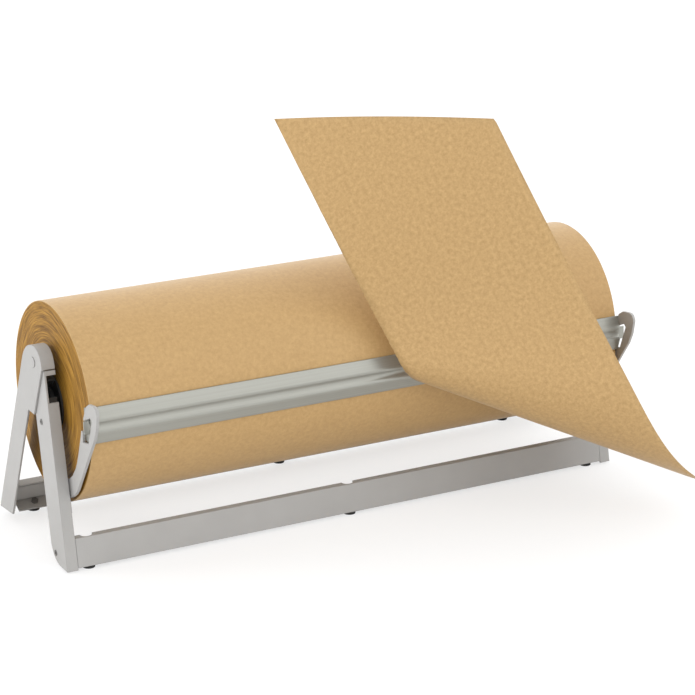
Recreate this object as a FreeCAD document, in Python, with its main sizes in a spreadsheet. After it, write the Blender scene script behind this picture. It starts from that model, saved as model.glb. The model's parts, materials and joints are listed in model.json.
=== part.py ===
import FreeCAD, Part
import math
import os
import re
import Sketcher

# Table-top roll paper dispenser with a swinging cutter bar, in millimetres.
# X runs along the roll, -Y is the side the paper is pulled from, +Z is up.
# The origin is on the counter, at the middle front foot, half way along the roll.
# Pieces are drawn with Y = 0 at the roll's axis and then moved back to that origin.

doc = FreeCAD.newDocument("PaperCutter")
dims = doc.addObject("Spreadsheet::Sheet", "Dims")

SIZES = {
    # roll, core and shaft
    "roll_len": 609.6,
    "roll_rad": 102.3,
    "axis_z": 157.7,
    "core_out": 24.0,
    "core_in": 20.0,
    "shaft_rad": 8.0,
    "shaft_short": 6.1,
    "shaft_play": 0.09,
    "slot_play": 0.12,
    "core_play": 0.1,
    "plug_lip_rad": 30.0,
    "plug_lip_thk": 2.2,
    "plug_neck_rad": 15.5,
    "plug_depth": 32.0,
    # folded steel end frames
    "steel": 1.9,
    "end_room": 6.9,
    "end_deep": 13.9,
    "lap_gap": 0.1,
    "front_y": -70.9,
    "front_lean": 0.2147,
    "front_wide": 38.3,
    "front_base": 2.0,
    "rear_y": 113.2,
    "rear_lean": 0.4463,
    "rear_wide": 34.7,
    "rear_base": 8.4,
    "head_y": -8.3,
    "head_z": 202.2,
    "head_rad": 19.5,
    "back_rad": 37.3,
    "window_low": 169.3,
    "window_top": 196.5,
    # cross rails
    "rail_gap": 0.3,
    "rail_low": 4.0,
    "rail_top": 33.4,
    "rail_lip": 8.0,
    "rail_foot": 20.0,
    "rear_web_low": 11.8,
    "rear_web": 29.7,
    "rear_foot": 17.4,
    "notch_rad": 6.6,
    "foot_inset": 14.4,
    "foot_rad": 6.4,
    "foot_in": 8.6,
    "rear_foot_inset": 20.4,
    # cutter bar and its arms
    "pivot_y": -43.0,
    "pivot_z": 80.0,
    "pin_rad": 4.0,
    "pin_play": 0.09,
    "arm_gap": 2.5,
    "arm_thk": 2.9,
    "lobe_rad": 9.5,
    "ear_thk": 1.6,
    "ear_deep": 11.0,
    "tab_long": 3.2,
    "bar_thk": 1.3,
    "bar_low": 18.6,
    "bar_high": 18.3,
    # sheet of paper drawn from under the bar
    "sheet_thk": 0.5,
    "sheet_lean": 85.9,
    "flat_angle": 10.6,
    "bend_rate": 3.95,
    "bend_angle": 57.5,
    "curl_rate": -0.36,
    "sheet_deep": 197.4,
    "fold_x": -29.9,
    "fold_up": 49.2,
    "sheet_clear": 0.6,
    "sheet_drop": 13.2,
    "near_trim": 12.7,
    "far_trim": 132.9,
}
# Places that follow from the sizes above, worked out in the sheet
PLACES = {
    "sheet_y": "-sqrt(roll_rad * roll_rad - sheet_drop * sheet_drop) - sheet_clear",
    "roll_half": "roll_len / 2",
    "flange_in": "roll_half + end_room",
    "end_half": "flange_in + end_deep",
    "plate_in": "end_half - steel",
    "wall_in": "plate_in - lap_gap - steel",
    "rail_half": "flange_in - rail_gap",
    "foot_x": "rail_half - foot_inset",
    "rear_foot_x": "rail_half - rear_foot_inset",
    "shaft_half": "end_half - shaft_short",
    "arm_in": "roll_half + arm_gap",
    "arm_out": "arm_in + arm_thk",
    "ear_out": "arm_in - 0.1",
    "ear_in": "ear_out - ear_thk",
    "near_cut": "roll_half - near_trim",
    "far_cut": "roll_half - far_trim",
}
rows = [(name, repr(size)) for name, size in SIZES.items()]
rows += [(name, "=" + formula) for name, formula in PLACES.items()]
for row, (alias, content) in enumerate(rows, start=1):
    dims.set("A%d" % row, alias)
    dims.set("B%d" % row, content)
    dims.setAlias("B%d" % row, alias)
doc.recompute()

WORD = re.compile(r"\b[a-z_]+\b")


def bound(text):
    """The same expression with every size read from the sheet."""

    def read(word):
        name = word.group()
        return "Dims." + name if name in SIZES or name in PLACES else name

    return WORD.sub(read, str(text))


def value(text):
    result = dims.evalExpression(str(text))
    return float(getattr(result, "Value", result))


def side_span(side, inner, outer):
    """Start of a span along X, for the left (-1) or the right (+1) end."""
    if side < 0:
        return "-(%s)" % outer
    return inner


def name_of(base, side):
    return base + ("_left" if side < 0 else "_right")


def origin_plane(body, role):
    for feature in body.Origin.OriginFeatures:
        if feature.Role == role:
            return feature
    raise RuntimeError("no plane " + role)


def new_sketch(body, name, plane, offset):
    sketch = body.newObject("Sketcher::SketchObject", name)
    sketch.AttachmentSupport = [(origin_plane(body, plane), "")]
    sketch.MapMode = "FlatFace"
    sketch.setExpression("AttachmentOffset.Base.z", bound(offset))
    return sketch


def loop(sketch, corners, arcs=None):
    """Closed outline through the corners. arcs maps an edge number to (radius, turn)."""
    arcs = arcs or {}
    points = [FreeCAD.Vector(value(a), value(b), 0) for a, b in corners]
    first = sketch.GeometryCount
    count = len(points)
    starts = []
    for i in range(count):
        p = points[i]
        q = points[(i + 1) % count]
        if i in arcs:
            radius, turn = arcs[i]
            rad = value(radius)
            chord = q - p
            mid = (p + q) * 0.5
            rise = math.sqrt(max(rad * rad - chord.Length * chord.Length / 4, 0))
            normal = FreeCAD.Vector(-chord.y, chord.x, 0).normalize()
            centre = mid + normal * rise * (1 if turn > 0 else -1)
            if abs(turn) > 1:
                centre = mid - normal * rise * (1 if turn > 0 else -1)
            a0 = math.atan2(p.y - centre.y, p.x - centre.x)
            a1 = math.atan2(q.y - centre.y, q.x - centre.x)
            circle = Part.Circle(centre, FreeCAD.Vector(0, 0, 1), rad)
            if turn > 0:
                sketch.addGeometry(Part.ArcOfCircle(circle, a0, a1 if a1 > a0 else a1 + 2 * math.pi))
                starts.append((1, 2))
            else:
                sketch.addGeometry(Part.ArcOfCircle(circle, a1, a0 if a0 > a1 else a0 + 2 * math.pi))
                starts.append((2, 1))
            number = sketch.addConstraint(Sketcher.Constraint("Radius", first + i, rad))
            sketch.setExpression("Constraints[%d]" % number, bound(radius))
        else:
            sketch.addGeometry(Part.LineSegment(p, q))
            starts.append((1, 2))
    for i in range(count):
        k = (i + 1) % count
        sketch.addConstraint(
            Sketcher.Constraint("Coincident", first + i, starts[i][1], first + k, starts[k][0])
        )
    for i, (a, b) in enumerate(corners):
        for kind, text in (("DistanceX", a), ("DistanceY", b)):
            number = sketch.addConstraint(
                Sketcher.Constraint(kind, -1, 1, first + i, starts[i][0], value(text))
            )
            sketch.setExpression("Constraints[%d]" % number, bound(text))


def ring(sketch, centre, radius):
    """A circle in a sketch, tied to the sheet."""
    place = FreeCAD.Vector(value(centre[0]), value(centre[1]), 0)
    item = sketch.addGeometry(Part.Circle(place, FreeCAD.Vector(0, 0, 1), value(radius)))
    for kind, text in (("DistanceX", centre[0]), ("DistanceY", centre[1])):
        number = sketch.addConstraint(Sketcher.Constraint(kind, -1, 1, item, 3, value(text)))
        sketch.setExpression("Constraints[%d]" % number, bound(text))
    number = sketch.addConstraint(Sketcher.Constraint("Radius", item, value(radius)))
    sketch.setExpression("Constraints[%d]" % number, bound(radius))


ORIGIN_SHIFT = "-(front_y + foot_in)"


def new_body(label):
    body = doc.addObject("PartDesign::Body", label)
    body.Label = label
    body.setExpression("Placement.Base.y", bound(ORIGIN_SHIFT))
    return body


def pad(body, sketch, length):
    feature = body.newObject("PartDesign::Pad", body.Name + "_pad")
    feature.Profile = sketch
    feature.setExpression("Length", bound(length))
    return feature


def pocket_both(body, sketch, length):
    feature = body.newObject("PartDesign::Pocket", body.Name + "_cut")
    feature.Profile = sketch
    feature.Midplane = True
    feature.setExpression("Length", bound(length))
    return feature


def slab(body, corners, start, length, arcs=None, rings=()):
    """One plate square to X: outline in Y and Z, from start along +X."""
    sketch = new_sketch(body, body.Name + "_outline", "YZ_Plane", start)
    loop(sketch, corners, arcs)
    for centre, radius in rings:
        ring(sketch, centre, radius)
    return pad(body, sketch, length)


def turned(label, start, steps, y, z, bore=None):
    """Turned piece along X: steps are (radius, length) from start, on the axis y, z."""
    body = new_body(label)
    place = start
    for radius, length in steps:
        sketch = new_sketch(body, label + "_step", "YZ_Plane", place)
        ring(sketch, (y, z), radius)
        pad(body, sketch, length)
        place = "(%s) + (%s)" % (place, length)
    if bore:
        hole = new_sketch(body, label + "_bore", "YZ_Plane", start)
        ring(hole, (y, z), bore)
        pocket_both(body, hole, "2 * (%s - (%s)) + 2" % (place, start))
    return body


def front_face(z):
    return "front_y + front_lean * ((%s) - rail_low)" % z


def rear_face(z):
    return "rear_y - rear_lean * ((%s) - rail_low)" % z


AXIS = ("0", "axis_z")
HEAD = ("head_y + 3.6", "head_z + 2")
SADDLE_RIVET = (front_face("axis_z - 13.4") + " + 24.8", "axis_z - 13.4")
BRACKET_RIVET = (front_face("12") + " + 27.8", "12")


# End frames

def rear_leg(side):
    """Outer leg: a wide rounded head, a narrower stem and a folded rear edge.

    The fold follows the back edge and wraps over the head to the front.
    """
    body = new_body(name_of("rear_leg", side))
    step_z = "axis_z - 9.9"
    crown = "head_z + head_rad"
    inner_crown = crown + " - steel"
    shoulder = "head_z"
    corners = [
        (rear_face("rear_base"), "rear_base"),
        (rear_face(shoulder), shoulder),
        ("head_y", crown),
        ("head_y - head_rad", "head_z"),
        ("head_y - head_rad + 1.9", "head_z - 1.6"),
        ("-1.5", step_z),
        (rear_face(step_z) + " - rear_wide", step_z),
        (rear_face("rear_base + 3.4") + " - rear_wide", "rear_base + 3.4"),
    ]
    slab(
        body, corners, side_span(side, "plate_in", "end_half"), "steel",
        {1: ("back_rad", 1), 2: ("head_rad", 1)},
        [(HEAD, "3.05")],
    )
    fold = [
        (rear_face("rear_base"), "rear_base"),
        (rear_face(shoulder), shoulder),
        ("head_y", crown),
        ("head_y - head_rad", "head_z"),
        ("head_y - head_rad + steel", "head_z"),
        ("head_y", inner_crown),
        (rear_face(shoulder) + " - steel * 1.095", shoulder),
        (rear_face("rear_base") + " - steel * 1.095", "rear_base"),
    ]
    slab(
        body, fold, side_span(side, "flange_in", "end_half"), "end_half - flange_in",
        {1: ("back_rad", 1), 2: ("head_rad", 1),
         4: ("head_rad - steel", -1), 5: ("back_rad - steel", -1)},
    )
    return body


def front_leg(side):
    """Inner leg: flat side with a rounded head under the other leg's fold.

    Its front fold is left open where the shaft is dropped in.
    """
    body = new_body(name_of("front_leg", side))
    outer = "(plate_in - lap_gap)"
    nest = "head_rad - steel - 0.6"
    nest_crown = "head_z + " + nest
    nest_back = rear_face("head_z") + " - steel * 1.095 - 0.6"
    head_top = "head_z - 1.2"
    corners = [
        (front_face("front_base"), "front_base"),
        (front_face("front_base") + " + front_wide - 19.4", "front_base"),
        (front_face("front_base + 19") + " + front_wide", "front_base + 19"),
        (front_face("axis_z - 7.7") + " + front_wide", "axis_z - 7.7"),
        (nest_back, "axis_z + 14.3"),
        (nest_back, "head_z"),
        ("head_y", nest_crown),
        ("head_y - (%s)" % nest, "head_z"),
        ("head_y - (%s)" % nest, head_top),
        (front_face(head_top), head_top),
    ]
    slab(
        body, corners, side_span(side, outer + " - steel", outer), "steel",
        {1: ("24", 1), 5: ("back_rad - steel - 0.6", 1), 6: (nest, 1)},
        [(HEAD, "3.05"), (SADDLE_RIVET, "2.05"), (BRACKET_RIVET, "2.05"),
         (("pivot_y", "pivot_z"), "3.05")],
    )
    thick = "steel * 1.023"
    for low, high in (("front_base", "window_low"), ("window_top", head_top)):
        fold = [
            (front_face(low), low),
            (front_face(low) + " + " + thick, low),
            (front_face(high) + " + " + thick, high),
            (front_face(high), high),
        ]
        slab(body, fold, side_span(side, "flange_in", outer), outer + " - flange_in")
    return body


def saddle(side):
    """Black block inside the leg's head, with the sloping slot the shaft rests in."""
    body = new_body(name_of("shaft_saddle", side))
    rad = "(shaft_rad + slot_play)"
    corners = [
        (front_face("axis_z - 19.7") + " + 2.4", "axis_z - 19.7"),
        ("-14", "axis_z - 19.7"),
        ("-6", "axis_z - 11.3"),
        ("12", "axis_z - 11.3"),
        ("20", "axis_z - 7.7"),
        ("24", "axis_z + 10.3"),
        ("20", "axis_z + 30.3"),
        ("8", "axis_z + 34.8"),
        ("-26", "axis_z + 34.8"),
        (front_face("axis_z + 32.9") + " + 2.4", "axis_z + 32.9"),
        ("0.633 * %s" % rad, "axis_z + 0.774 * %s" % rad),
        ("-0.633 * %s" % rad, "axis_z - 0.774 * %s" % rad),
        (front_face("axis_z + 16.5") + " + 2.4", "axis_z + 16.5"),
    ]
    slab(
        body, corners, side_span(side, "flange_in + 0.5", "wall_in - 0.2"), "wall_in - flange_in - 0.7",
        {10: (rad, -1)}, [(SADDLE_RIVET, "2.05")],
    )
    return body


def low_rivet(label, side, centre):
    """Rivet along X through the two heads of an end, with a low round head outside."""
    shank = "end_half - wall_in"
    steps = [("3", shank), ("5.4", "0.8")]
    start = "wall_in"
    if side < 0:
        steps.reverse()
        start = "-(end_half + 0.8)"
    return turned(label, start, steps, centre[0], centre[1])


def eyelet(label, side, outer, inner, centre):
    """Hollow rivet: a ring seen outside and a tube through the plates."""
    steps = [("2", "%s - (%s)" % (outer, inner)), ("3.1", "0.5")]
    start = inner
    if side < 0:
        steps.reverse()
        start = "-(%s + 0.5)" % outer
    return turned(label, start, steps, centre[0], centre[1], "1.3")


# Cross rails

def front_rail():
    """Folded channel between the ends, its web leaning like the legs' edges.

    The upper fold has a round notch over each foot for the screwdriver.
    """
    body = new_body("front_rail")
    corners = [
        (front_face("rail_low"), "rail_low"),
        (front_face("rail_low") + " + rail_foot", "rail_low"),
        (front_face("rail_low") + " + rail_foot", "rail_low + steel"),
        (front_face("rail_low + steel") + " + steel * 1.023", "rail_low + steel"),
        (front_face("rail_top - steel") + " + steel * 1.023", "rail_top - steel"),
        (front_face("rail_top") + " + rail_lip", "rail_top - steel"),
        (front_face("rail_top") + " + rail_lip", "rail_top"),
        (front_face("rail_top"), "rail_top"),
    ]
    slab(body, corners, "-rail_half", "2 * rail_half")
    notches = new_sketch(body, "front_rail_notches", "XY_Plane", "rail_top")
    holes = new_sketch(body, "front_rail_holes", "XY_Plane", "rail_low")
    for x in ("-foot_x", "0", "foot_x"):
        ring(notches, (x, front_face("rail_top") + " + rail_lip"), "notch_rad")
        ring(holes, (x, front_face("rail_low") + " + foot_in"), "1.65")
    pocket_both(body, notches, "4 * steel + 2")
    pocket_both(body, holes, "4 * steel + 2")
    return body


def lean_back(body, along):
    """Set a piece drawn square on the rear rail's slope, this far in from its web."""
    body.Placement = FreeCAD.Placement(
        FreeCAD.Vector(0, 0, 0), FreeCAD.Rotation(FreeCAD.Vector(1, 0, 0), 20)
    )
    run = "(%s) / sqrt(1 + rear_lean * rear_lean)" % along
    body.setExpression("Placement.Rotation.Angle", bound("atan(rear_lean)"))
    body.setExpression("Placement.Base.y", bound(
        "%s + %s - %s" % (ORIGIN_SHIFT, rear_face("rear_web_low"), run)))
    body.setExpression("Placement.Base.z", bound("rear_web_low - rear_lean * (%s)" % run))


def rear_rail():
    """Plain channel at the back, square folds, the whole of it leaning with the legs."""
    body = new_body("rear_rail")
    corners = [
        ("0", "0"),
        ("0", "rear_web"),
        ("-rail_lip", "rear_web"),
        ("-rail_lip", "rear_web - steel"),
        ("-steel", "rear_web - steel"),
        ("-steel", "steel"),
        ("-rear_foot", "steel"),
        ("-rear_foot", "0"),
    ]
    slab(body, corners, "-rail_half", "2 * rail_half")
    holes = new_sketch(body, "rear_rail_holes", "XY_Plane", "0")
    for x in ("-rear_foot_x", "0", "rear_foot_x"):
        ring(holes, (x, "-foot_in"), "1.65")
    pocket_both(body, holes, "2 * steel + 2")
    lean_back(body, "0")
    return body


def corner_bracket(label, side, face, inward, low, high, gap, plate, hole=None):
    """Angle inside a corner: one leaf on the leg's side, one behind the rail's web."""
    body = new_body(label)
    leaf = [
        ("%s %s %s" % (face(low), inward, gap), low),
        ("%s %s 31" % (face(low), inward), low),
        ("%s %s 31" % (face(high), inward), high),
        ("%s %s %s" % (face(high), inward, gap), high),
    ]
    outer = plate + " - 0.1"
    rings = [(hole, "2.05")] if hole else ()
    slab(body, leaf, side_span(side, outer + " - steel", outer), "steel", None, rings)
    behind = [
        ("%s %s %s" % (face(low), inward, gap), low),
        ("%s %s (%s + steel)" % (face(low), inward, gap), low),
        ("%s %s (%s + steel)" % (face(high), inward, gap), high),
        ("%s %s %s" % (face(high), inward, gap), high),
    ]
    reach = "(rail_half - 35.4)"
    slab(body, behind, side_span(side, reach, outer), "%s - %s" % (outer, reach))
    return body


def front_foot(label, x):
    """Rubber foot, a short cylinder with a blind screw hole."""
    body = new_body(label)
    y = front_face("rail_low") + " + foot_in"
    base = new_sketch(body, label + "_base", "XY_Plane", "0")
    ring(base, (x, y), "foot_rad")
    pad(body, base, "rail_low")
    hole = new_sketch(body, label + "_hole", "XY_Plane", "rail_low")
    ring(hole, (x, y), "1.6")
    pocket_both(body, hole, "5.6")
    return body


def rear_foot(label, x):
    """Rubber foot square to the leaning rail, its underside cut level with the counter."""
    body = new_body(label)
    height = "(rear_web_low - rear_lean * foot_in / sqrt(1 + rear_lean * rear_lean))"
    slope = "sqrt(1 + rear_lean * rear_lean)"
    base = new_sketch(body, label + "_base", "XY_Plane", "-14")
    ring(base, (x, "0"), "foot_rad")
    pad(body, base, "14")
    hole = new_sketch(body, label + "_hole", "XY_Plane", "0")
    ring(hole, (x, "0"), "1.6")
    pocket_both(body, hole, "5.6")
    level = new_sketch(body, label + "_level", "YZ_Plane", x)
    loop(level, [
        ("-9", "-20"),
        ("9", "-20"),
        ("9", "-(%s * %s + rear_lean * 9)" % (height, slope)),
        ("-9", "-(%s * %s - rear_lean * 9)" % (height, slope)),
    ])
    pocket_both(body, level, "4 * foot_rad")
    lean_back(body, "foot_in")
    return body


def foot_screw(label, x, y, seat):
    """Hexagon screw that holds a foot under the rail's lower fold."""
    body = new_body(label)
    shank = new_sketch(body, label + "_shank", "XY_Plane", seat + " - 2.6")
    ring(shank, (x, y), "1.5")
    pad(body, shank, "2.6 + steel")
    head = new_sketch(body, label + "_head", "XY_Plane", seat + " + steel")
    loop(head, [
        ("%s + 4.04" % x, y),
        ("%s + 2.02" % x, "%s + 3.5" % y),
        ("%s - 2.02" % x, "%s + 3.5" % y),
        ("%s - 4.04" % x, y),
        ("%s - 2.02" % x, "%s - 3.5" % y),
        ("%s + 2.02" % x, "%s - 3.5" % y),
    ])
    pad(body, head, "2.4")
    return body


# Roll and shaft

def paper_roll():
    body = new_body("paper_roll")
    sketch = new_sketch(body, "paper_roll_face", "YZ_Plane", "-roll_half")
    ring(sketch, AXIS, "roll_rad")
    ring(sketch, AXIS, "core_out + core_play")
    pad(body, sketch, "roll_len")
    return body


def core_tube():
    body = new_body("core_tube")
    sketch = new_sketch(body, "core_tube_face", "YZ_Plane", "-roll_half")
    ring(sketch, AXIS, "core_out")
    ring(sketch, AXIS, "core_in")
    pad(body, sketch, "roll_len")
    return body


def core_plug(side):
    """Black plug pushed into the core, with a lip on the roll's end and a neck."""
    steps = [
        ("core_in - core_play", "plug_depth"),
        ("plug_lip_rad", "plug_lip_thk"),
        ("plug_neck_rad", "rail_half - roll_half - plug_lip_thk"),
    ]
    start = "roll_half - plug_depth"
    if side < 0:
        steps.reverse()
        start = "-rail_half"
    return turned(name_of("core_plug", side), start, steps, "0", "axis_z", "shaft_rad + shaft_play")


def shaft():
    return turned("shaft", "-shaft_half", [("shaft_rad", "2 * shaft_half")], "0", "axis_z")


# Cutter bar

def arm(side):
    """Flat hooked arm: round lobe on the pivot, bent stem, hook round the bar's ear."""
    body = new_body(name_of("arm", side))
    offsets = [
        (-2.5, -9.165),
        (-13, -5.4),
        (-23, 1),
        (-30, 8),
        (-73.7, 71),
        (-79, 78.5),
        (-84.5, 91),
        (-86.8, 104),
        (-78.5, 112.2),
        (-67, 110.5),
        (-59.5, 105.5),
        (-51.2, 90.2),
        (-52.6, 89.2),
        (-69.8, 97.4),
        (-73.2, 94.6),
        (-63.6, 68.6),
        (-48.8, 65.4),
        (-48.8, 76.5),
        (-45.4, 76.5),
        (-43.4, 69.5),
        (-36.4, 50),
        (-31.8, 39),
        (-26.3, 29.4),
        (-17.2, 19.2),
        (-6, 11.4),
        (3.5, 8.831),
    ]
    corners = [("pivot_y + %g" % y, "pivot_z + %g" % z) for y, z in offsets]
    slab(
        body, corners, side_span(side, "arm_in", "arm_out"), "arm_out - arm_in",
        {7: ("8", -1), 25: ("lobe_rad", -2)},
        [(("pivot_y", "pivot_z"), "pin_rad + pin_play")],
    )
    return body


def pivot_pin(side):
    """Shouldered pin riveted to the leg's side; the arm turns on its end."""
    steps = [
        ("3", "steel"),
        ("6", "wall_in - arm_out - 0.2"),
        ("pin_rad", "arm_out - arm_in + 0.2 + 0.3"),
        ("6.5", "1.2"),
    ]
    start = "arm_in - 0.3 - 1.2"
    if side < 0:
        return turned(name_of("pivot_pin", side), "-(wall_in + steel)", steps, "pivot_y", "pivot_z")
    steps.reverse()
    return turned(name_of("pivot_pin", side), start, steps, "pivot_y", "pivot_z")


def hinge_plate(side):
    """Plate welded behind the leg's fold to stiffen it at the pivot pin."""
    body = new_body(name_of("hinge_plate", side))
    corners = [
        (front_face("pivot_z + 14") + " + 2", "pivot_z + 14"),
        (front_face("pivot_z - 21") + " + 2", "pivot_z - 21"),
        (front_face("pivot_z - 26") + " + 6", "pivot_z - 26"),
        (front_face("pivot_z - 26") + " + 11", "pivot_z - 26"),
        (front_face("pivot_z - 21") + " + 16", "pivot_z - 21"),
        ("pivot_y + 9", "pivot_z - 6"),
        ("pivot_y + 9", "pivot_z + 14"),
    ]
    slab(
        body, corners, side_span(side, "arm_out + 0.4", "arm_out + 2.3"), "1.9",
        None, [(("pivot_y", "pivot_z"), "6.02")],
    )
    return body


BAR_TILT = (0.0698, 0.9976)


def bar_point(s, gap):
    """Point on the bar: s up along it, gap out from the roll's surface."""
    sin_a, cos_a = BAR_TILT
    y = "-%g * (roll_rad + (%s)) + %g * (%s)" % (cos_a, gap, sin_a, s)
    z = "axis_z + %g * (roll_rad + (%s)) + %g * (%s)" % (sin_a, gap, cos_a, s)
    return y, z


def cutter_bar():
    """Ribbed strip across the roll, with an ear and a hook tab at each end."""
    body = new_body("cutter_bar")
    back = [
        ("-bar_low", -1.2), (-8.4, 2.55), (-4.2, 2.6), (3.4, 2.6), (7.6, 2.6), ("bar_high", -1.1)
    ]
    front = [(s, "%s + bar_thk" % g) for s, g in reversed(back)]
    corners = [bar_point(s, g) for s, g in back] + [bar_point(s, g) for s, g in front]
    arcs = {
        1: ("4", -1), 2: ("7.1", 1), 3: ("4", -1),
        7: ("4 + bar_thk", 1), 8: ("7.1 - bar_thk", -1), 9: ("4 + bar_thk", 1),
    }
    slab(body, corners, "-ear_out", "2 * ear_out", arcs)
    ear = [
        bar_point("0.8 - bar_low", -0.5),
        bar_point("bar_high - 0.3", 0.2),
        bar_point("bar_high - 1.8", "-ear_deep"),
        bar_point("1.8 - bar_low", "-ear_deep"),
    ]
    for side in (-1, 1):
        slab(body, ear, side_span(side, "ear_in", "ear_out"), "ear_thk")
    tab = [bar_point(-7, 0.4), bar_point(-7, 2.2), bar_point(6.4, 2.2), bar_point(6.4, 0.4)]
    tab_end = "(arm_out + tab_long)"
    for side in (-1, 1):
        slab(body, tab, side_span(side, "ear_in", tab_end), tab_end + " - ear_in")
    return body


for s in (-1, 1):
    rear_leg(s)
    front_leg(s)
    saddle(s)
    low_rivet(name_of("head_rivet", s), s, HEAD)
    eyelet(name_of("saddle_rivet", s), s, "(plate_in - lap_gap)", "(flange_in + 0.5)", SADDLE_RIVET)
    eyelet(name_of("front_rivet", s), s, "(plate_in - lap_gap)", "(wall_in - 2.1)", BRACKET_RIVET)
    corner_bracket(
        name_of("front_bracket", s), s, front_face, "+", "9", "29", "2.2", "wall_in", BRACKET_RIVET
    )
    corner_bracket(name_of("rear_bracket", s), s, rear_face, "-", "13.5", "31", "2.4", "plate_in")
    core_plug(s)
    arm(s)
    pivot_pin(s)
    hinge_plate(s)
front_rail()
rear_rail()
for tag, sign in (("left", "-"), ("middle", "0 * "), ("right", "")):
    x = sign + "foot_x"
    front_foot("front_foot_" + tag, x)
    foot_screw("front_foot_screw_" + tag, x, front_face("rail_low") + " + foot_in", "rail_low")
    x = sign + "rear_foot_x"
    rear_foot("rear_foot_" + tag, x)
    lean_back(foot_screw("rear_foot_screw_" + tag, x, "0", "0"), "foot_in")
paper_roll()
core_tube()
shaft()
cutter_bar()


# Sheet: flat where it leaves the bar, a conical fold, then a gentle curl

def cone_frame(angle):
    """Direction and normal of the straight line at this angle in the flat sheet."""
    lean = math.radians(value("sheet_lean"))
    line = FreeCAD.Vector(1, 0, 0)
    side = FreeCAD.Vector(0, -math.cos(lean), -math.sin(lean))
    done = 0.0
    for limit, rate in (
        (value("flat_angle"), 0.0),
        (value("bend_angle"), value("bend_rate")),
        (180.0, value("curl_rate")),
    ):
        amount = math.radians(max(min(angle, limit) - done, 0.0))
        up = line.cross(side)
        axis = line * -rate + up
        spin = FreeCAD.Rotation(axis, math.degrees(axis.Length * amount))
        line = spin.multVec(line)
        side = spin.multVec(side)
        done = max(done, min(angle, limit))
    return line, line.cross(side)


def sheet_reach(angle):
    """Nearest and farthest point of the sheet along the line at this angle."""
    deep = value("sheet_deep")
    up = value("fold_up")
    apex_x = value("fold_x")
    half = value("roll_half")
    near_cut = value("near_cut")
    far_cut = value("far_cut")
    c = math.cos(math.radians(angle))
    d = math.sin(math.radians(angle))
    near = up / d
    far = (deep + up) / d
    if c > 0:
        far = min(far, (half - apex_x) / c)
    # slanting free end, from (-near_cut, 0) to (-far_cut, deep)
    run = (near_cut - far_cut) / deep
    edge = c - run * d
    if edge < 0:
        far = min(far, (-near_cut - run * up - apex_x) / edge)
    return near, far


def corner_angle(across, down):
    return math.degrees(math.atan2(down + value("fold_up"), across - value("fold_x")))


def paper_sheet():
    half = value("roll_half")
    deep = value("sheet_deep")
    start = corner_angle(half, 0) + 0.2
    end = corner_angle(-value("near_cut"), 0) - 0.4
    angles = {start, end, value("flat_angle"), value("bend_angle")}
    angles.add(corner_angle(half, deep))
    angles.add(corner_angle(-value("far_cut"), deep))
    bend_steps = 16
    span = value("bend_angle") - value("flat_angle")
    angles.update(value("flat_angle") + span * k / bend_steps for k in range(bend_steps))
    angles.update(value("bend_angle") + (end - value("bend_angle")) * k / 9 for k in range(9))
    angles = sorted(angles)
    angles = [a for a, b in zip(angles, angles[1:] + [999]) if b - a > 0.05]
    lean = math.radians(value("sheet_lean"))
    up = value("fold_up")
    apex = FreeCAD.Vector(
        value("fold_x"),
        value(ORIGIN_SHIFT + " + sheet_y") + up * math.cos(lean),
        value("axis_z - sheet_drop") + up * math.sin(lean),
    )
    rows = []
    for angle in angles:
        line, normal = cone_frame(angle)
        near, far = sheet_reach(angle)
        shift = normal * value("sheet_thk / 2")
        rows.append([
            apex + line * near + shift,
            apex + line * far + shift,
            apex + line * far - shift,
            apex + line * near - shift,
        ])
    faces = []

    def four(a, b, c, d):
        for three in ((a, b, c), (a, c, d)):
            faces.append(Part.Face(Part.makePolygon(list(three) + [three[0]])))

    for a, b in zip(rows, rows[1:]):
        for k in range(4):
            m = (k + 1) % 4
            four(a[k], a[m], b[m], b[k])
    four(*rows[0])
    four(*rows[-1])
    solid = Part.Solid(Part.Shell(faces))
    if solid.Volume < 0:
        solid.reverse()
    node = doc.addObject("Part::Feature", "paper_sheet")
    node.Label = "paper_sheet"
    node.Shape = solid
    return node


paper_sheet()
doc.recompute()

failed = [o.Name for o in doc.Objects if "Invalid" in o.State or "Error" in o.State]
if failed:
    raise RuntimeError("not built: " + ", ".join(failed))

nodes = [o for o in doc.Objects if o.isDerivedFrom("PartDesign::Body") or o.TypeId == "Part::Feature"]
for node in nodes:
    if node.Shape.isNull() or not node.Shape.isValid():
        raise RuntimeError("bad shape: " + node.Label)
    if len(node.Shape.Solids) != 1:
        raise RuntimeError("%s has %d solids" % (node.Label, len(node.Shape.Solids)))

os.makedirs("parts", exist_ok=True)
for node in nodes:
    node.Shape.exportStep("parts/%s.step" % node.Label)
print(len(nodes), "nodes")
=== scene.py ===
import bpy
import json
import math
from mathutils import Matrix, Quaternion, Vector


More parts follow.
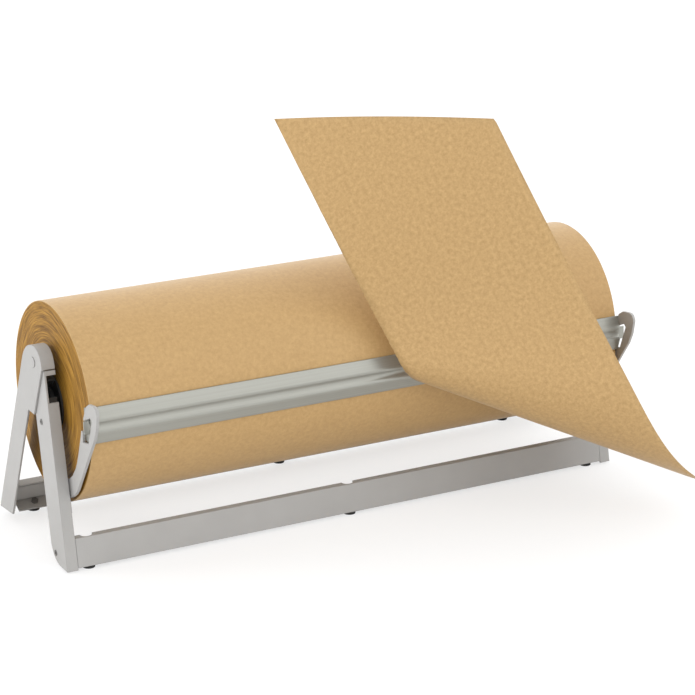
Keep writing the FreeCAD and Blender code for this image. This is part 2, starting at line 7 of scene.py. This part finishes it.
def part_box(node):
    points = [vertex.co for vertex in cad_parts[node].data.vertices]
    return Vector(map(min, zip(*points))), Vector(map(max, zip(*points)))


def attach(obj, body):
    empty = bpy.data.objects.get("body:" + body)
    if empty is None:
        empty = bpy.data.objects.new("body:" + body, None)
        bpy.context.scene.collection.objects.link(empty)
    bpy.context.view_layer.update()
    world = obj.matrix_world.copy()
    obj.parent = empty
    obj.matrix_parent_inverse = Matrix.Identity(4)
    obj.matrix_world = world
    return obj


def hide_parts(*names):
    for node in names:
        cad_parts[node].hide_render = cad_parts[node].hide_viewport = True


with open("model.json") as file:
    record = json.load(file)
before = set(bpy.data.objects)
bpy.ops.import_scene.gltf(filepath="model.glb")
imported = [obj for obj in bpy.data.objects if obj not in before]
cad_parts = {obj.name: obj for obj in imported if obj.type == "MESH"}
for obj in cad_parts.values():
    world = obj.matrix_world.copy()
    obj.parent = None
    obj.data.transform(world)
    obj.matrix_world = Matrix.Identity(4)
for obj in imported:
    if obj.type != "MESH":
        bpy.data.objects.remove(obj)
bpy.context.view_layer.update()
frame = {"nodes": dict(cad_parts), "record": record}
nodes = frame["nodes"]


# Steel ends, rails, brackets, hinge plates, arms, pivot pins and head rivets: folded and riveted
# steel under a pale grey satin powder coat. The coat is a fine orange-peel bump, and a small bevel
# in the shading rounds the folds and the cut edges.
def new_finish(name):
    """A material, with what is needed to wire it."""
    material = bpy.data.materials.new(name)
    material.use_nodes = True
    tree = material.node_tree
    return material, tree.nodes, tree.links.new, tree.nodes["Principled BSDF"]


def noise(n, link, place, scale, detail=2.0, rough=0.5):
    """Level of a noise pattern at a place."""
    pattern = n.new("ShaderNodeTexNoise")
    pattern.inputs["Scale"].default_value = scale
    pattern.inputs["Detail"].default_value = detail
    pattern.inputs["Roughness"].default_value = rough
    link(place, pattern.inputs["Vector"])
    return pattern.outputs["Fac"]


def tone(n, link, level, dark, light, start=0.0, end=1.0):
    """Colour that runs from dark at the start level to light at the end level."""
    ramp = n.new("ShaderNodeValToRGB")
    ramp.color_ramp.elements[0].position = start
    ramp.color_ramp.elements[0].color = (*dark, 1)
    ramp.color_ramp.elements[1].position = end
    ramp.color_ramp.elements[1].color = (*light, 1)
    link(level, ramp.inputs["Fac"])
    return ramp.outputs["Color"]


def rounded_edges(n, radius):
    """Normal that rounds the edges of a piece."""
    bevel = n.new("ShaderNodeBevel")
    bevel.samples = 6
    bevel.inputs["Radius"].default_value = radius
    return bevel.outputs["Normal"]


def raised(n, link, level, strength, height, under=None):
    """Normal of a surface raised by the level, over another normal if one is given."""
    bump = n.new("ShaderNodeBump")
    bump.inputs["Strength"].default_value = strength
    bump.inputs["Distance"].default_value = height
    link(level, bump.inputs["Height"])
    if under:
        link(under, bump.inputs["Normal"])
    return bump.outputs["Normal"]


def dress(material_slot, material):
    """Put the material on each piece that the record gives this slot."""
    for part in frame["record"]["subparts"]:
        if part["material_slot"] == material_slot:
            for slot in nodes[part["node"]].material_slots:
                slot.link = "OBJECT"
                slot.material = material


coat, n, link, shader = new_finish("grey powder coat")
shader.inputs["Roughness"].default_value = 0.42
place = n.new("ShaderNodeTexCoord").outputs["Object"]
cloud = noise(n, link, place, scale=30.0)
color = tone(n, link, cloud, dark=(0.338, 0.332, 0.322), light=(0.376, 0.370, 0.360))
link(color, shader.inputs["Base Color"])
peel = noise(n, link, place, scale=900.0, detail=3.0)
edges = rounded_edges(n, radius=0.0009)
normal = raised(n, link, peel, strength=0.12, height=0.0002, under=edges)
link(normal, shader.inputs["Normal"])
dress("grey_powder_coat", coat)


# Hollow rivets and foot screws: dull zinc over steel, slightly mottled. The zinc is set much darker
# than real zinc, as painted shade for the dark bores of the hollow rivets.
zinc, n, link, shader = new_finish("dull zinc")
shader.inputs["Metallic"].default_value = 0.85
shader.inputs["Roughness"].default_value = 0.45
place = n.new("ShaderNodeTexCoord").outputs["Object"]
mottle = noise(n, link, place, scale=260.0)
# the dark zinc tones are painted shade that stands in for the shadowed bores of the rivets
color = tone(n, link, mottle, dark=(0.13, 0.127, 0.12), light=(0.27, 0.265, 0.255))
link(color, shader.inputs["Base Color"])
dress("zinc_plated_steel", zinc)


# Black rubber feet: short soft cylinders under the rails, dull and a little dusty.
rubber, n, link, shader = new_finish("black rubber")
shader.inputs["Roughness"].default_value = 0.8
place = n.new("ShaderNodeTexCoord").outputs["Object"]
dust = noise(n, link, place, scale=300.0)
color = tone(n, link, dust, dark=(0.012, 0.012, 0.012), light=(0.035, 0.034, 0.033))
link(color, shader.inputs["Base Color"])
dress("black_rubber", rubber)


# Shaft saddles and core plugs: black moulded plastic with a fine spark-eroded grain.
plastic, n, link, shader = new_finish("black moulded plastic")
shader.inputs["Base Color"].default_value = (0.012, 0.012, 0.012, 1)
shader.inputs["Roughness"].default_value = 0.48
place = n.new("ShaderNodeTexCoord").outputs["Object"]
grain = noise(n, link, place, scale=1200.0)
link(raised(n, link, grain, strength=0.2, height=0.0001), shader.inputs["Normal"])
dress("black_plastic", plastic)


# Shaft: bright drawn steel bar that lies in the saddles. The drawing left long fine marks on it.
def stretched(n, link, along, around):
    """Place on a piece, with the pattern drawn out along X."""
    mapping = n.new("ShaderNodeMapping")
    mapping.inputs["Scale"].default_value = (along, around, around)
    link(n.new("ShaderNodeTexCoord").outputs["Object"], mapping.inputs["Vector"])
    return mapping.outputs["Vector"]


def spread(n, link, level, at_zero, at_one):
    """Number that runs from at_zero to at_one with the level."""
    span = n.new("ShaderNodeMapRange")
    span.inputs["To Min"].default_value = at_zero
    span.inputs["To Max"].default_value = at_one
    link(level, span.inputs["Value"])
    return span.outputs["Result"]


bright, n, link, shader = new_finish("bright drawn steel")
shader.inputs["Metallic"].default_value = 1.0
shader.inputs["Base Color"].default_value = (0.60, 0.60, 0.59, 1)
marks = noise(n, link, stretched(n, link, along=4.0, around=900.0), scale=1.0)
link(spread(n, link, marks, at_zero=0.22, at_one=0.38), shader.inputs["Roughness"])
dress("bright_steel", bright)


# Core tube: grey-brown wound board that the paper is wound on, hidden by the lips of the plugs.
board, n, link, shader = new_finish("grey board")
shader.inputs["Roughness"].default_value = 0.85
place = n.new("ShaderNodeTexCoord").outputs["Object"]
fibre = noise(n, link, place, scale=400.0)
color = tone(n, link, fibre, dark=(0.30, 0.24, 0.17), light=(0.42, 0.35, 0.26))
link(color, shader.inputs["Base Color"])
dress("grey_board", board)


# Paper roll: tightly wound brown kraft. Round it the paper is smooth, with a fine even mottle of
# fibres. Its ends are matt and show the edges of the layers, as rings that wander and change in
# tone, with a paler rim that is a painted highlight on the rounded outer edge.
low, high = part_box("paper_roll")
roll_axis = Vector((0, (low[1] + high[1]) / 2, (low[2] + high[2]) / 2))
painted_highlight_rim_radius = 0.1014
ring_wander = 0.008
ring_stretch = (760.0, 32.0, 32.0)
fibre_scale = 230.0


def arithmetic(n, operation, *numbers):
    """Math node with its constants. None leaves an input for a link."""
    node = n.new("ShaderNodeMath")
    node.operation = operation
    for socket, number in zip(node.inputs, numbers):
        if number is not None:
            socket.default_value = number
    return node


def blend(n, link, level, a, b=None):
    """Colour mix node: a at level 0, b at level 1."""
    node = n.new("ShaderNodeMix")
    node.data_type = "RGBA"
    link(level, node.inputs["Factor"])
    link(a, node.inputs["A"])
    if b:
        link(b, node.inputs["B"])
    return node


kraft_roll, n, link, shader = new_finish("wound kraft paper")
shader.inputs["Roughness"].default_value = 0.55
shader.inputs["Sheen Roughness"].default_value = 0.45
# places are taken from the roll's axis, and the radius is the distance from it
source = n.new("ShaderNodeTexCoord")
centred = n.new("ShaderNodeMapping")
centred.inputs["Location"].default_value = -roll_axis
link(source.outputs["Object"], centred.inputs["Vector"])
place = centred.outputs["Vector"]
split = n.new("ShaderNodeSeparateXYZ")
link(place, split.inputs["Vector"])
across = n.new("ShaderNodeCombineXYZ")
link(split.outputs["Y"], across.inputs["Y"])
link(split.outputs["Z"], across.inputs["Z"])
radius = n.new("ShaderNodeVectorMath")
radius.operation = "LENGTH"
link(across.outputs["Vector"], radius.inputs[0])

# layers on the ends: noise drawn out round the axis, at a radius that wanders a little
drift = arithmetic(n, "MULTIPLY_ADD", None, ring_wander)
link(noise(n, link, place, scale=20.0), drift.inputs[0])
link(radius.outputs["Value"], drift.inputs[2])
ring_place = n.new("ShaderNodeCombineXYZ")
link(drift.outputs["Value"], ring_place.inputs["X"])
link(split.outputs["Y"], ring_place.inputs["Y"])
link(split.outputs["Z"], ring_place.inputs["Z"])
drawn_out = n.new("ShaderNodeVectorMath")
drawn_out.operation = "MULTIPLY"
drawn_out.inputs[1].default_value = ring_stretch
link(ring_place.outputs["Vector"], drawn_out.inputs[0])
rings = noise(n, link, drawn_out.outputs["Vector"], scale=1.0, detail=5.0, rough=0.62)
layers = tone(
    n, link, rings, dark=(0.112, 0.046, 0.004), light=(0.430, 0.228, 0.036),
    start=0.34, end=0.68,
)
# the paler rim on the ends is a painted highlight, where the rounded outer edge catches the light
in_painted_highlight_rim = arithmetic(n, "GREATER_THAN", None, painted_highlight_rim_radius)
link(radius.outputs["Value"], in_painted_highlight_rim.inputs[0])
end_color = blend(n, link, in_painted_highlight_rim.outputs["Value"], layers)
end_color.inputs["B"].default_value = (0.46, 0.30, 0.13, 1)

# fibres round the roll, and the layers where the surface faces along X
fibres = noise(n, link, place, scale=fibre_scale, detail=5.0, rough=0.75)
face = tone(
    n, link, fibres, dark=(0.385, 0.235, 0.087), light=(0.485, 0.308, 0.124),
    start=0.30, end=0.70,
)
turned = n.new("ShaderNodeSeparateXYZ")
link(source.outputs["Normal"], turned.inputs["Vector"])
facing = arithmetic(n, "ABSOLUTE")
link(turned.outputs["X"], facing.inputs[0])
on_end = arithmetic(n, "GREATER_THAN", None, 0.5)
link(facing.outputs["Value"], on_end.inputs[0])
is_end = on_end.outputs["Value"]
color = blend(n, link, is_end, face, end_color.outputs["Result"])
link(color.outputs["Result"], shader.inputs["Base Color"])
link(spread(n, link, is_end, at_zero=0.12, at_one=0.0), shader.inputs["Sheen Weight"])
link(spread(n, link, is_end, at_zero=0.5, at_one=0.15), shader.inputs["Specular IOR Level"])
ridge = arithmetic(n, "MULTIPLY")
link(rings, ridge.inputs[0])
link(is_end, ridge.inputs[1])
normal = raised(n, link, ridge.outputs["Value"], strength=0.5, height=0.0006)
link(normal, shader.inputs["Normal"])
dress("kraft_paper", kraft_roll)


# Cutter bar: one rolled strip of satin steel with two ribs, its ends folded back as ears that the
# hooks of the arms hold. The rolling left long fine lines along the strip.
satin, n, link, shader = new_finish("satin rolled strip")
shader.inputs["Metallic"].default_value = 0.75
lines = noise(n, link, stretched(n, link, along=2.0, around=500.0), scale=1.0, detail=4.0)
color = tone(n, link, lines, dark=(0.29, 0.29, 0.262), light=(0.385, 0.385, 0.348))
link(color, shader.inputs["Base Color"])
link(spread(n, link, lines, at_zero=0.30, at_one=0.46), shader.inputs["Roughness"])
link(rounded_edges(n, radius=0.0008), shader.inputs["Normal"])
dress("satin_steel_strip", satin)


# Drawn sheet: smooth brown kraft, torn along the bar but for its last 10 cm, which are still on the
# web. It is flat where it leaves the bar, folds over in a cone and then curls a little back.
# Every straight line of the surface runs through one point, so the paper bends and never stretches.
kraft, n, link, shader = new_finish("kraft sheet")
shader.inputs["Roughness"].default_value = 0.55
shader.inputs["Sheen Weight"].default_value = 0.12
shader.inputs["Sheen Roughness"].default_value = 0.45
place = n.new("ShaderNodeTexCoord").outputs["UV"]
fibres = noise(n, link, place, scale=fibre_scale, detail=5.0, rough=0.75)
# the sheet's kraft runs lighter than the same paper on the roll: painted light for the brighter lit
# sheet
face = tone(
    n, link, fibres, dark=(0.375, 0.230, 0.083), light=(0.545, 0.350, 0.148),
    start=0.30, end=0.70,
)
link(face, shader.inputs["Base Color"])

half = high[0]
deep = 0.1974
near_cut = half - 0.0127
far_cut = half - 0.1329
cut_slant = (near_cut - far_cut) / deep
# the sheet leaves the roll this far out from its axis and below it, and hangs almost straight down
sheet_out = 0.10205
sheet_drop = 0.0132
sheet_lean = math.radians(85.9)
# apex of the cone: its X, and how far it lies above the bar's side of the sheet
fold_x = -0.0299
fold_up = 0.0492
# angles round the apex at which the flat part and the bend end, and how fast the paper turns
flat_angle = math.radians(10.6)
bend_angle = math.radians(57.5)
bend_rate = 3.95
curl_rate = -0.36
apex = roll_axis + Vector((
    fold_x,
    -sheet_out + fold_up * math.cos(sheet_lean),
    -sheet_drop + fold_up * math.sin(sheet_lean),
))


def sheet_line(angle):
    """Direction in the bent sheet of the line that has this angle in the flat sheet."""
    line = Vector((1, 0, 0))
    side = Vector((0, -math.cos(sheet_lean), -math.sin(sheet_lean)))
    done = 0.0
    for limit, rate in ((flat_angle, 0.0), (bend_angle, bend_rate), (math.pi, curl_rate)):
        amount = max(min(angle, limit) - done, 0.0)
        turn = line * -rate + line.cross(side)
        spin = Quaternion(turn.normalized(), turn.length * amount)
        line = spin @ line
        side = spin @ side
        done = max(done, min(angle, limit))
    return line


first = math.atan2(fold_up, half - fold_x)
last = math.atan2(fold_up, -near_cut - fold_x)
rulings = 170
steps = 24
least_length = 1e-5
# the side torn along the bar is a little ragged
torn_until = 0.2
ragged = 0.0004
fine_tears = 900
coarse_tears = 331
points = []
flats = []
# each line runs from the bar's side to the far side, the right-hand edge or the slanted cut
for i in range(rulings + 1):
    angle = first + (last - first) * i / rulings
    line = sheet_line(angle)
    c = math.cos(angle)
    s = math.sin(angle)
    near = fold_up / s
    far = (deep + fold_up) / s
    if c > 0:
        far = min(far, (half - fold_x) / c)
    slant = c - cut_slant * s
    if slant < 0:
        far = min(far, (-near_cut - cut_slant * fold_up - fold_x) / slant)
    far = max(far, near + least_length)
    edge_x = fold_x + near * c
    if edge_x < torn_until:
        near += ragged * math.sin(edge_x * fine_tears) * math.sin(edge_x * coarse_tears + 1)
    for k in range(steps + 1):
        t = near + (far - near) * k / steps
        points.append(apex + line * t)
        flats.append((fold_x + t * c, t * s))
faces = []
for i in range(rulings):
    for k in range(steps):
        a = i * (steps + 1) + k
        faces.append((a, a + steps + 1, a + steps + 2, a + 1))
mesh = bpy.data.meshes.new("drawn_sheet")
mesh.from_pydata(points, [], faces)
layer = mesh.uv_layers.new(name="flat")
for corner in mesh.loops:
    layer.data[corner.index].uv = flats[corner.vertex_index]
mesh.polygons.foreach_set("use_smooth", [True] * len(mesh.polygons))
mesh.materials.append(kraft)
paper = bpy.data.objects.new("drawn_sheet", mesh)
bpy.context.scene.collection.objects.link(paper)
thin = paper.modifiers.new("thickness", "SOLIDIFY")
thin.thickness = 0.0002
thin.offset = 0.0
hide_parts("paper_sheet")
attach(paper, "sheet")


# Studio floor: a wide white sheet. For the camera it mixes in some plain white, so that it stays
# pale in the shade.
floor_paint, n, link, shader = new_finish("studio floor")
shader.inputs["Base Color"].default_value = (0.84, 0.84, 0.84, 1)
shader.inputs["Roughness"].default_value = 1.0
shader.inputs["Specular IOR Level"].default_value = 0.0
white = n.new("ShaderNodeEmission")
white.inputs["Color"].default_value = (1, 1, 1, 1)
white.inputs["Strength"].default_value = 1.1
ray = n.new("ShaderNodeLightPath")
share = arithmetic(n, "MULTIPLY", None, 0.6)
link(ray.outputs["Is Camera Ray"], share.inputs[0])
both = n.new("ShaderNodeMixShader")
link(share.outputs["Value"], both.inputs["Fac"])
link(shader.outputs["BSDF"], both.inputs[1])
link(white.outputs["Emission"], both.inputs[2])
link(both.outputs["Shader"], n["Material Output"].inputs["Surface"])
ground = bpy.data.meshes.new("floor")
reach = 30.0
ground.from_pydata(
    [(-reach, -reach, 0), (reach, -reach, 0), (reach, reach, 0), (-reach, reach, 0)],
    [], [(0, 1, 2, 3)],
)
ground.materials.append(floor_paint)
floor = bpy.data.objects.new("floor", ground)
bpy.context.scene.collection.objects.link(floor)


# Studio light: a sky that is brighter behind the cutter and to its right, a broad soft light in
# front and a narrower one behind the left end.
world = bpy.data.worlds.new("studio")
bpy.context.scene.world = world
world.use_nodes = True
n = world.node_tree.nodes
link = world.node_tree.links.new
sky = n["Background"]
sky.inputs["Color"].default_value = (1, 1, 1, 1)
split = n.new("ShaderNodeSeparateXYZ")
link(n.new("ShaderNodeTexCoord").outputs["Generated"], split.inputs["Vector"])
glow = n.new("ShaderNodeMapRange")
glow.inputs["From Min"].default_value = -1.0
glow.inputs["To Min"].default_value = 0.35
glow.inputs["To Max"].default_value = 1.40
link(split.outputs["Y"], glow.inputs["Value"])
wing = n.new("ShaderNodeMapRange")
wing.inputs["From Min"].default_value = 0.3
wing.inputs["From Max"].default_value = 0.8
wing.inputs["To Max"].default_value = 1.2
link(split.outputs["X"], wing.inputs["Value"])
total = arithmetic(n, "ADD")
link(glow.outputs["Result"], total.inputs[0])
link(wing.outputs["Result"], total.inputs[1])
link(total.outputs["Value"], sky.inputs["Strength"])

for name, width, power, towards in (
    ("front light", 90, 1.62, (0.12, 0.85, -0.50)),
    ("left light", 20, 1.25, (0.85, -0.45, -0.27)),
):
    lamp = bpy.data.lights.new(name, "SUN")
    lamp.angle = math.radians(width)
    lamp.energy = power
    light = bpy.data.objects.new(name, lamp)
    light.rotation_euler = Vector(towards).to_track_quat("-Z", "Y").to_euler()
    bpy.context.scene.collection.objects.link(light)


# Camera: at the left in front, a little above, as in the photograph.
camera_data = bpy.data.cameras.new("camera")
camera_data.sensor_width = 36.0
camera_data.lens = 128.07
camera = bpy.data.objects.new("camera", camera_data)
camera.location = roll_axis + Vector((-1.1432, -2.1976, 0.8509))
yaw = math.radians(-28.117)
pitch = math.radians(18.789)
ahead = Vector((
    -math.sin(yaw) * math.cos(pitch), math.cos(yaw) * math.cos(pitch), -math.sin(pitch),
))
camera.rotation_euler = ahead.to_track_quat("-Z", "Y").to_euler()
bpy.context.scene.collection.objects.link(camera)
bpy.context.scene.camera = camera
bpy.context.scene.view_settings.view_transform = "Standard"
